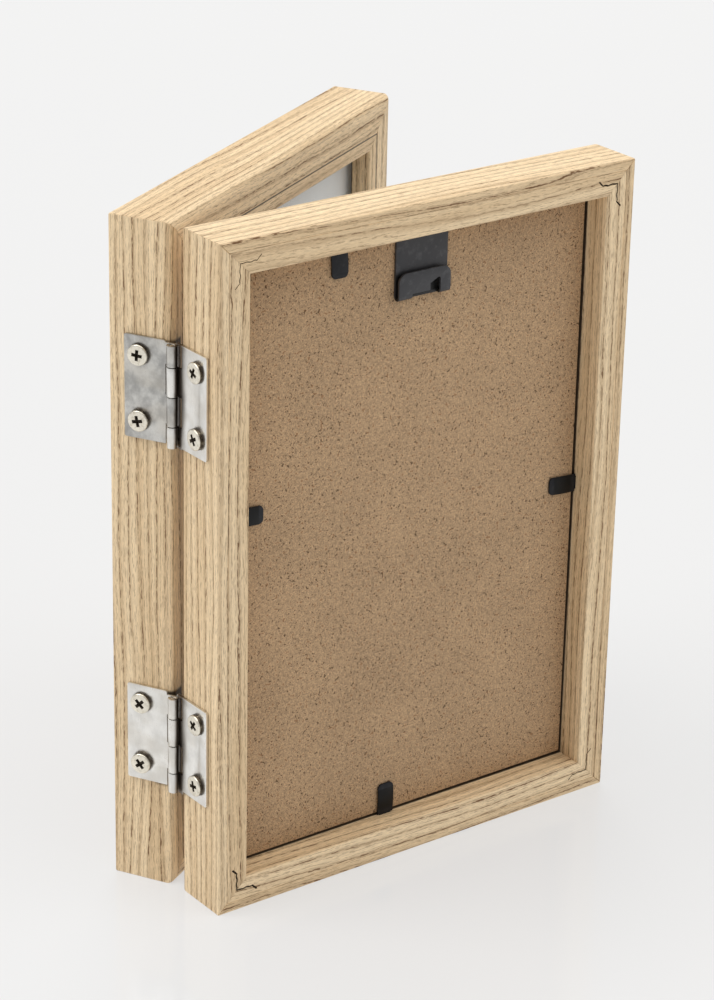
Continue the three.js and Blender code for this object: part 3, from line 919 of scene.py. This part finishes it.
def nail_ribbon(name, extra):
    """A ribbon of steel along the nail's run, made thicker by extra where it is a cutting tool."""
    run = nail_line()
    sunk = -PAST if extra else NAIL_SUNK
    span = NAIL_DEPTH + bool(extra) * SLACK - sunk
    middle = sunk - DEPTH + span / 2
    deselect_all()
    bpy.ops.mesh.primitive_plane_add(size=span, location=(run[0].x, middle, run[0].y))
    nail = settled(name)
    with editing(nail, "VERT"):
        pick(lambda co: co.x > run[0].x, "verts")
        bpy.ops.mesh.delete(type="VERT")
    with editing(nail):
        pick_all()
        move(span / 2, 0, 0)
        for here, there in zip(run, run[1:]):
            extrude(there.x - here.x, 0, there.y - here.y)
    apply_modifier(nail, "SOLIDIFY", thickness=sizes().nail_thickness + extra, offset=0)
    tidy_mesh(nail)
    return nail


# ---- tabs ----

TAB_STATIONS = 6
TAB_LEANS = {"hinge": -0.6 * MM, "bottom": 0, "free": -0.6 * MM, "top": 0.6 * MM}
ROOT_REACH = 0.08 * MM  # out of the wood, and so just short of the blade's round end


class PHOTOFRAME_OT_tabs(bpy.types.Operator):
    """Build the black tabs that hold the boards, and their roots in the wood"""

    bl_idname = "photo_frame.tabs"
    bl_label = "Tabs"

    def execute(self, context):
        for edge in EDGES:
            for make, node in ((shape_tab, f"{edge}_tab"), (shape_root, f"{edge}_tab_shank")):
                fitted_twice(make(edge), node, tab_steel())
        return {"FINISHED"}


def shape_tab(edge):
    """A tab's blade: leaning a little, round at its free corners and slightly crowned."""
    size = sizes()
    low, high = in_stick(edge, f"right_{edge}_tab")
    root_low, root_high = in_stick(edge, f"right_{edge}_tab_shank")
    middle = (root_low.z + root_high.z) / 2
    lean = TAB_LEANS[edge]
    half = (high.z - low.z - abs(lean)) / 2
    thick = high.y - low.y
    start = low.x - thick / 2
    tab = add_box(f"right_{edge}_blade", (start, low.y, middle - half), (high.x, high.y, middle + half))
    with editing(tab):
        for y in (low.y, high.y):
            pick(at(x=start, y=y))
            bevel(thick * 0.49, 4)
        pick(at(x=high.x), "faces")
        move(0, 0, lean)
        for z in (middle - half, middle + half):
            pick(at(x=high.x, z=z + lean))
            bevel(size.tab_round, 5)
        shares = [i / TAB_STATIONS for i in range(1, TAB_STATIONS)]
        for share in shares:
            pick_all()
            slice_at((low.x + (high.x - low.x) * share, 0, 0), (1, 0, 0))
        for share in shares:
            pick(at(x=low.x + (high.x - low.x) * share))
            move(0, -size.tab_crown * math.sin(math.pi * share), 0)
    ease_edges(tab, size.steel_ease)
    smooth(tab)
    return placed(tab, edge_place(edge))


def shape_root(edge):
    """The part of a tab that is set into the stick."""
    low, high = in_stick(edge, f"right_{edge}_tab_shank")
    root = add_box(f"right_{edge}_root", low, high + Vector((ROOT_REACH, 0, 0)))
    ease_edges(root, sizes().steel_ease)
    smooth(root)
    return placed(root, edge_place(edge))


# ---- hangers ----

HANGER_LOW, HANGER_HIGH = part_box("right_hanger")
HANGER_SHEET = 0.6 * MM
HANGER_SHANK_WIDTH = 9 * MM
LIP_HEIGHT = 6.7 * MM
NAIL_SLOT_FROM_EDGE = 2.9 * MM
NAIL_SLOT_ROUND = 1 * MM
NAIL_SLOT_WIDTH = 3 * MM
NAIL_SLOT_HEIGHT = 4.6 * MM
NAIL_SLOT_SLANT = 1.5 * MM
NAIL_DOOR_WIDTH = 8.2 * MM
NAIL_DOOR_HEIGHT = 1.4 * MM


def hanger_shank():
    """The hanger's part inside the top stick."""
    middle = (HANGER_LOW.x + HANGER_HIGH.x) / 2
    half = HANGER_SHANK_WIDTH / 2
    low = Vector((middle - half, HANGER_HIGH.y - HANGER_SHEET, HEIGHT - BACK_RIM - PAST))
    return low, Vector((middle + half, HANGER_HIGH.y, HANGER_HIGH.z))


class PHOTOFRAME_OT_hangers(bpy.types.Operator):
    """Build the two hangers: a plate folded up into a slotted lip"""

    bl_idname = "photo_frame.hangers"
    bl_label = "Hangers"

    def execute(self, context):
        fitted_twice(shape_hanger(), "hanger", hanger_steel())
        return {"FINISHED"}


def shape_hanger():
    """The plate, its fold and lip, and its shank in the wood, with the nail slot cut out."""
    size = sizes()
    low, high = HANGER_LOW, HANGER_HIGH
    radius = (high.y - low.y) / 2
    fold = low.z + radius
    wall = HEIGHT - BACK_RIM - SLACK
    top = low.z + LIP_HEIGHT
    plate_back = high.y - HANGER_SHEET
    hanger = add_box("right_hanger_strip", (low.x, plate_back, fold), (high.x, high.y, wall))
    with editing(hanger, "FACE"):
        centre = Vector((0, low.y + radius, fold))
        pick(at(z=fold), "faces")
        bpy.ops.mesh.spin(steps=12, angle=math.pi, center=centre, axis=(1, 0, 0))
        extrude(0, 0, top - fold)
    with editing(hanger):
        for x in (low.x, high.x):
            pick(at(x=x, z=top))
            bevel(size.lip_round, 6)
    with editing(hanger, "FACE"):
        left, right = (corner.x for corner in hanger_shank())
        for x in (left, right):
            pick(at(z=wall), "faces")
            slice_at((x, 0, 0), (1, 0, 0))
        pick(lambda co: at(z=wall)(co) and left - NEAR < co.x < right + NEAR, "faces")
        extrude(0, 0, high.z - wall)
    tidy_mesh(hanger)
    cut_away(hanger, *nail_opening(low, high, plate_back - 0.05 * MM))
    ease_edges(hanger, size.steel_ease)
    smooth(hanger)
    return hanger


def nail_opening(low, high, front):
    """Tools for the lip's opening: a wide door for the nail's head, and its slot above."""
    right = high.x - NAIL_SLOT_FROM_EDGE
    back = low.y - PAST
    door_low = (right - NAIL_DOOR_WIDTH, back, low.z - PAST)
    door = add_box("nail_door", door_low, (right, front, low.z + NAIL_DOOR_HEIGHT))
    right -= 0.03 * MM  # so that the two tools' sides don't coincide
    slot_low = (right - NAIL_SLOT_WIDTH, back, low.z + NAIL_DOOR_HEIGHT / 2)
    slot = add_box("nail_slot", slot_low, (right, front, low.z + NAIL_SLOT_HEIGHT))
    with editing(slot):
        pick(at(x=slot_low[0], z=low.z + NAIL_SLOT_HEIGHT))
        move(0, 0, -NAIL_SLOT_SLANT)
        pick(at(x=right, z=low.z + NAIL_SLOT_HEIGHT))
        bevel(NAIL_SLOT_ROUND, 4)
    return door, slot


# ---- boards, cards and glass ----

BOARD_TURN = math.radians(0.09)
BOARD_SHIFT = (-0.28 * MM, 0, 0.22 * MM)
BOARD_EASE = 0.2 * MM
CARD_ROUND = 1 * MM
GLASS_EASE = 0.2 * MM


class PHOTOFRAME_OT_boards(bpy.types.Operator):
    """Build the two brown back boards, each lying a little crooked in its rebate"""

    bl_idname = "photo_frame.boards"
    bl_label = "Back boards"

    def execute(self, context):
        low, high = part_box("right_back_board")
        board = add_box("right_board", low, high)
        with editing(board):
            pick_all()
            centre = (low + high) / 2
            bpy.ops.transform.rotate(value=BOARD_TURN, orient_axis="Y", center_override=centre)
            move(*BOARD_SHIFT)
        ease_edges(board, BOARD_EASE)
        smooth(board)
        fitted_twice(board, "back_board", fibreboard())
        return {"FINISHED"}


class PHOTOFRAME_OT_cards(bpy.types.Operator):
    """Build the two white cards behind the glass"""

    bl_idname = "photo_frame.cards"
    bl_label = "Insert cards"

    def execute(self, context):
        low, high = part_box("right_insert_card")
        card = add_box("right_card", low, high)
        with editing(card):
            for x in (low.x, high.x):
                for z in (low.z, high.z):
                    pick(at(x=x, z=z))
                    bevel(CARD_ROUND, 4)
        fitted_twice(card, "insert_card", white_card())
        return {"FINISHED"}


class PHOTOFRAME_OT_glass(bpy.types.Operator):
    """Build the two panes, with ground edges"""

    bl_idname = "photo_frame.glass"
    bl_label = "Glass"

    def execute(self, context):
        low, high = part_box("right_glass")
        pane = add_box("right_pane", low, high)
        ease_edges(pane, GLASS_EASE, 1)
        fitted_twice(pane, "glass", clear_glass())
        return {"FINISHED"}


# ---- hinges ----

SCREW_SHANK = 1.1 * MM
LEAF_LOW, LEAF_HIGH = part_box("right_upper_leaf")
PIN_RADIUS = (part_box("upper_hinge_pin")[1].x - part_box("upper_hinge_pin")[0].x) / 2
KNUCKLE_RADIUS = AXIS.x - LEAF_LOW.x
LEAF_SHEET = KNUCKLE_RADIUS - PIN_RADIUS - 0.06 * MM
KNUCKLE_GAP = 0.2 * MM
MIDDLE_KNUCKLE = 7.2 * MM
NOTCHES = {"right": 2.7 * MM, "left": 2.1 * MM}  # from the hinge axis
TONGUE = 2.8 * MM  # from the hinge axis, below the leaf
TOP_STEP = 0.3 * MM  # from the hinge axis to the right leaf's edge, above the knuckles
PIN_ROUND = 0.25 * MM
ROLL = math.radians(284)


class PHOTOFRAME_OT_leaves(bpy.types.Operator):
    """Build the four hinge leaves, rolled round the pins at every other knuckle"""

    bl_idname = "photo_frame.leaves"
    bl_label = "Hinge leaves"

    def execute(self, context):
        for hinge in HINGES:
            for side, matrix in (("right", Matrix.Identity(4)), ("left", TO_LEFT)):
                leaf = placed(shape_leaf(hinge, side), matrix)
                node = f"{side}_{hinge}_leaf"
                fitted(leaf, node, dull_zinc() if node == "left_upper_leaf" else bright_zinc())
        return {"FINISHED"}


def knuckle_spans(hinge):
    """The heights of a hinge's four knuckles, from the top one down."""
    low, high = (corner.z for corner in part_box(f"{hinge}_hinge_pin"))
    middle, half = (low + high) / 2, (high - low) / 2 + KNUCKLE_GAP
    ends = [middle + end for end in (half, MIDDLE_KNUCKLE, 0, -MIDDLE_KNUCKLE, -half)]
    return [(low + KNUCKLE_GAP / 2, high - KNUCKLE_GAP / 2) for high, low in zip(ends, ends[1:])]


def shape_leaf(hinge, side):
    """A leaf on the right frame: a plate whose tongues are rolled into its side's knuckles."""
    size = sizes()
    spans = knuckle_spans(hinge)
    first = int(side == "right")  # the left leaf owns the top knuckle
    own, others = spans[first::2], spans[1 - first :: 2]
    outer = LEAF_HIGH.x - LEAF_SHEET
    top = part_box(f"right_{hinge}_leaf")[1].z
    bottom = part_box(f"left_{hinge}_leaf")[0].z
    lowest = min(own[-1][0], bottom)
    notch = NOTCHES[side]
    stop = TOP_STEP if side == "right" else notch
    leaf = add_box(f"{side}_{hinge}_plate", (outer, LEAF_LOW.y, lowest), (LEAF_HIGH.x, AXIS.y, top))
    tools = [leaf_notch(low - KNUCKLE_GAP, high + KNUCKLE_GAP, notch) for low, high in others]
    tools.append(leaf_notch(spans[0][1], top + PAST, stop))
    if lowest < bottom - NEAR:
        low = (outer - PAST, LEAF_LOW.y - PAST, lowest - PAST)
        tools.append(add_box("below", low, (LEAF_HIGH.x + PAST, AXIS.y - TONGUE, bottom)))
    cut_away(leaf, *tools, *screw_holes(hinge, outer - PAST, LEAF_HIGH.x + PAST, 24))
    with editing(leaf):
        for y, z in ((LEAF_LOW.y, top), (LEAF_LOW.y, bottom), (AXIS.y - stop, top)):
            pick(at(y=y, z=z))
            bevel(size.leaf_round, 4)
    with editing(leaf, "FACE"):
        pick(at(y=AXIS.y), "faces")
        bpy.ops.mesh.spin(steps=26, angle=-ROLL, center=AXIS, axis=(0, 0, 1))
    tidy_mesh(leaf)
    ease_edges(leaf, size.steel_ease, 2, 50)
    smooth(leaf)
    return leaf


def leaf_notch(low, high, depth):
    """A tool for a gap in the leaf's edge, from the hinge axis to a depth."""
    corner = (LEAF_HIGH.x - LEAF_SHEET - PAST, AXIS.y - depth, low)
    return add_box("notch", corner, (LEAF_HIGH.x + PAST, AXIS.y + PAST, high))


class PHOTOFRAME_OT_pins(bpy.types.Operator):
    """Build the two hinge pins, with slightly domed ends"""

    bl_idname = "photo_frame.pins"
    bl_label = "Hinge pins"

    def execute(self, context):
        for hinge in HINGES:
            low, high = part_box(f"{hinge}_hinge_pin")
            start, end = Vector((AXIS.x, AXIS.y, low.z)), Vector((AXIS.x, AXIS.y, high.z))
            pin = add_rod(f"{hinge}_pin_wire", PIN_RADIUS, start, end)
            with editing(pin):
                for z in (low.z, high.z):
                    pick(at(z=z))
                    bevel(PIN_ROUND, 3)
            smooth(pin)
            fitted(pin, f"{hinge}_hinge_pin", bright_zinc())
        return {"FINISHED"}


# ---- screws ----

SCREW_TURNS = {  # how far each cross is turned, in degrees
    "right_upper": (22, -28),
    "right_lower": (35, -12),
    "left_upper": (-4, 12),
    "left_lower": (44, 38),
}
HEAD = 1 * MM
HEAD_ROUND = 0.32 * MM
HEAD_DOME = 0.08 * MM
CROSS_LENGTH = 4.1 * MM
CROSS_WIDTH = 1.15 * MM
CROSS_DEPTH = 0.8 * MM
SCREW_POINT = 2 * MM
SCREW_END = 0.1 * MM  # how far the point ends short of the CAD screw's end


class PHOTOFRAME_OT_screws(bpy.types.Operator):
    """Build the eight pan-head screws, each with its cross turned its own way"""

    bl_idname = "photo_frame.screws"
    bl_label = "Screws"

    def execute(self, context):
        low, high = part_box("right_upper_screw_1")
        screw = shape_screw((high.z - low.z) / 2, high.x - low.x)
        for pair, turns in SCREW_TURNS.items():
            hinge = pair.split("_")[1]
            for number, turn in enumerate(turns, 1):
                low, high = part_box(f"right_{hinge}_screw_{number}")
                middle = (low + high) / 2
                place = Matrix.Translation((low.x, middle.y, middle.z))
                place = place @ Matrix.Rotation(math.radians(turn), 4, "X")
                if pair.startswith("left"):
                    place = TO_LEFT @ place
                node = f"{pair}_screw_{number}"
                piece = copied(screw, f"{node}_turned", place)
                fitted(piece, node, nickel_plate(), driver_grime(), worn_rim())
        bpy.data.meshes.remove(screw.data)
        return {"FINISHED"}


def shape_screw(radius, long):
    """A screw that points along x, from the top of its head at the origin."""
    screw = add_rod("screw", radius, (0, 0, 0), (HEAD, 0, 0), 48)
    with editing(screw):
        pick(at(x=0))
        bevel(HEAD_ROUND, 4)
    with editing(screw, "FACE"):
        pick(at(x=0), "faces")
        bpy.ops.mesh.inset(thickness=radius * 0.35)
        move(-HEAD_DOME * 0.6, 0, 0)
        bpy.ops.mesh.inset(thickness=radius * 0.25)
        move(-HEAD_DOME * 0.4, 0, 0)
        pick(at(x=HEAD), "faces")
        bpy.ops.mesh.inset(thickness=radius - SCREW_SHANK)
        extrude(long - HEAD - SCREW_POINT, 0, 0)
        extrude(SCREW_POINT - SCREW_END, 0, 0)
        tip = (long - SCREW_END, 0, 0)
        bpy.ops.transform.resize(value=(1, 0.1, 0.1), center_override=tip)
    cut_away(screw, cross_arm(0), cross_arm(90))
    for face in screw.data.polygons:
        centre = face.center
        out = math.hypot(centre.y, centre.z)
        # The faces inside the cross take a finish of painted shade.
        if 0.05 * MM < centre.x < CROSS_DEPTH + NEAR and out < CROSS_LENGTH * 0.49:
            face.material_index = 1
        # The head's side takes a finish with a painted dark reflection.
        elif centre.x > HEAD_ROUND and out > radius * 0.9:
            face.material_index = 2
    smooth(screw, 32)
    return screw


def cross_arm(turn):
    """A tool for one bar of the cross, narrower towards its bottom."""
    half, wide = CROSS_LENGTH / 2, CROSS_WIDTH / 2
    arm = add_box("arm", (-PAST, -half, -wide), (CROSS_DEPTH, half, wide))
    with editing(arm, "FACE"):
        pick(at(x=CROSS_DEPTH), "faces")
        bpy.ops.transform.resize(value=(1, 0.35, 0.45), center_override=(CROSS_DEPTH, 0, 0))
    return placed(arm, Matrix.Rotation(math.radians(turn), 4, "X"))


# ---- stage ----

CAMERA_PLACE = Vector((-0.42064, -0.58386, 0.38504))
CAMERA_HEADING = math.radians(53.159)  # from +x towards +y
CAMERA_TILT = math.radians(23.044)  # below level
CAMERA_ROLL = math.radians(1.226)
CAMERA_LENS = 113.2  # millimetres, on a sensor 36 mm high
FLOOR_GLOW = 0.525
FLOOR_WIDTH = 80  # metres, so that its far edge is never in view
SKY = 0.45
SUNS = (  # name, direction from the object, irradiance, spread in degrees, colour
    ("overhead", (-0.10, 0.0, 1.0), 1.05, 60, (1.0, 0.99, 0.965)),
    ("from_left", (-1.0, 0.5, 1.1), 1.02, 40, (1.0, 0.99, 0.975)),
    ("from_behind", (0.45, 0.65, 0.95), 0.52, 30, (1.0, 0.985, 0.955)),
    ("from_right", (0.6, -0.75, 1.0), 0.5, 40, (1.0, 0.99, 0.98)),
)


class PHOTOFRAME_OT_stage(bpy.types.Operator):
    """Lay the pale floor, hang the soft lights and set the camera"""

    bl_idname = "photo_frame.stage"
    bl_label = "Stage"

    def execute(self, context):
        lay_floor()
        set_camera(context)
        light_world(context)
        for sun in SUNS:
            add_sun(*sun)
        context.scene.view_settings.view_transform = "Standard"
        return {"FINISHED"}


def lay_floor():
    """A sheet of white acrylic that also glows a little, as it does when lit from below."""
    deselect_all()
    bpy.ops.mesh.primitive_plane_add(size=FLOOR_WIDTH)
    floor = settled("floor")
    glow = {"Emission Color": (1, 1, 1, 1), "Emission Strength": FLOOR_GLOW}
    paint = Paint("floor_gloss", {"IOR": 1.38, "Roughness": 0.12, **glow})
    haze = paint.noise(paint.place(), 0.004)
    shade = paint.mix(haze, colours().floor, colours().floor * 0.96)
    floor.data.materials.append(paint.feed(Base_Color=shade))
    floor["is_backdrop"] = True


def set_camera(context):
    level = Vector((math.cos(CAMERA_HEADING), math.sin(CAMERA_HEADING), 0))
    ahead = level * math.cos(CAMERA_TILT) - Vector((0, 0, math.sin(CAMERA_TILT)))
    right = level.cross(Vector((0, 0, 1)))
    up = right.cross(ahead)
    turned_right = right * math.cos(CAMERA_ROLL) + up * math.sin(CAMERA_ROLL)
    turned_up = up * math.cos(CAMERA_ROLL) - right * math.sin(CAMERA_ROLL)
    camera = bpy.data.cameras.new("camera")
    camera.lens = CAMERA_LENS
    camera.sensor_width = 36
    camera.clip_start, camera.clip_end = 0.05, 20
    holder = bpy.data.objects.new("camera", camera)
    context.scene.collection.objects.link(holder)
    rotation = Matrix((turned_right, turned_up, -ahead)).transposed()
    holder.matrix_world = Matrix.Translation(CAMERA_PLACE) @ rotation.to_4x4()
    context.scene.camera = holder


def light_world(context):
    world = bpy.data.worlds.new("studio")
    world.use_nodes = True
    background = world.node_tree.nodes["Background"]
    background.inputs["Color"].default_value = (1.0, 1.0, 1.0, 1)
    background.inputs["Strength"].default_value = SKY
    context.scene.world = world


def add_sun(name, direction, strength, spread, tint):
    """A broad soft light from far away, so that it is even over the whole floor."""
    light = bpy.data.lights.new(name, "SUN")
    light.energy = strength
    light.angle = math.radians(spread)
    light.color = tint
    holder = bpy.data.objects.new(name, light)
    bpy.context.scene.collection.objects.link(holder)
    holder.rotation_euler = Vector(direction).to_track_quat("Z", "Y").to_euler()
    holder.location = Vector(direction).normalized()


# ---- panel and registration ----

OPERATORS = (
    PHOTOFRAME_OT_stage,
    PHOTOFRAME_OT_sticks,
    PHOTOFRAME_OT_corner_nails,
    PHOTOFRAME_OT_tabs,
    PHOTOFRAME_OT_hangers,
    PHOTOFRAME_OT_boards,
    PHOTOFRAME_OT_cards,
    PHOTOFRAME_OT_glass,
    PHOTOFRAME_OT_leaves,
    PHOTOFRAME_OT_pins,
    PHOTOFRAME_OT_screws,
)


class PHOTOFRAME_PT_panel(bpy.types.Panel):
    """The photo frame's builders, in the order in which they run."""

    bl_label = "Photo Frame"
    bl_idname = "PHOTOFRAME_PT_panel"
    bl_space_type = "VIEW_3D"
    bl_region_type = "UI"
    bl_category = "Photo Frame"

    def draw(self, context):
        for operator in OPERATORS:
            self.layout.operator(operator.bl_idname)
        for group in (context.scene.photo_frame_sizes, context.scene.photo_frame_colours):
            for name in group.bl_rna.properties.keys():
                if name not in ("rna_type", "name"):
                    self.layout.prop(group, name)


CLASSES = (PhotoFrameSizes, PhotoFrameColours, *OPERATORS, PHOTOFRAME_PT_panel)


def register():
    for one in CLASSES:
        bpy.utils.register_class(one)
    bpy.types.Scene.photo_frame_sizes = PointerProperty(type=PhotoFrameSizes)
    bpy.types.Scene.photo_frame_colours = PointerProperty(type=PhotoFrameColours)


def unregister():
    del bpy.types.Scene.photo_frame_colours
    del bpy.types.Scene.photo_frame_sizes
    for one in reversed(CLASSES):
        bpy.utils.unregister_class(one)


def main():
    register()
    for operator in OPERATORS:
        group, name = operator.bl_idname.split(".")
        getattr(getattr(bpy.ops, group), name)()
    boxes = {"cad": CAD_BOX, "visual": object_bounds()}
    {name: [list(low), list(high)] for name, (low, high) in boxes.items()}


if __name__ == "__main__":
    main()
